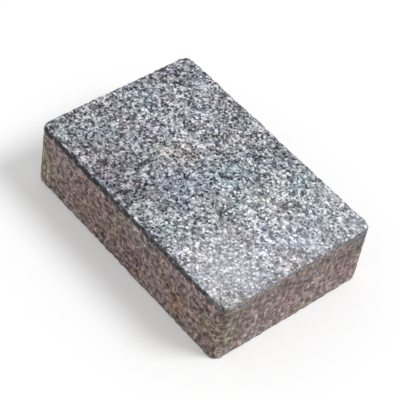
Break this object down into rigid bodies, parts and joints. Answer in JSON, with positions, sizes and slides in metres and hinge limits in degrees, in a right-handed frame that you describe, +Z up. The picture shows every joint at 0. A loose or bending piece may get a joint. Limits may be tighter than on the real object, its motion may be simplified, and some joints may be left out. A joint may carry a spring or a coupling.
{
  "type": "concrete paving tile",
  "caption": "Rectangular pressed concrete paving tile with a speckled granite-grey face, brown-grey sides, rounded corners and an eased top edge, for laying in courses.",
  "frame": {"origin": "middle of the underside, on the bed it lies on", "axes": "+X along the length, +Y across the width, +Z up through the walked-on face"},
  "size_m": [0.3, 0.2, 0.08],
  "materials": {
    "pressed_concrete": "dry pressed concrete, fine granular face of mixed light, grey and near-black granite grains, brown-grey cement sides"
  },
  "bodies": {
    "root": {"paving_tile": "pressed_concrete"}
  },
  "joints": []
}
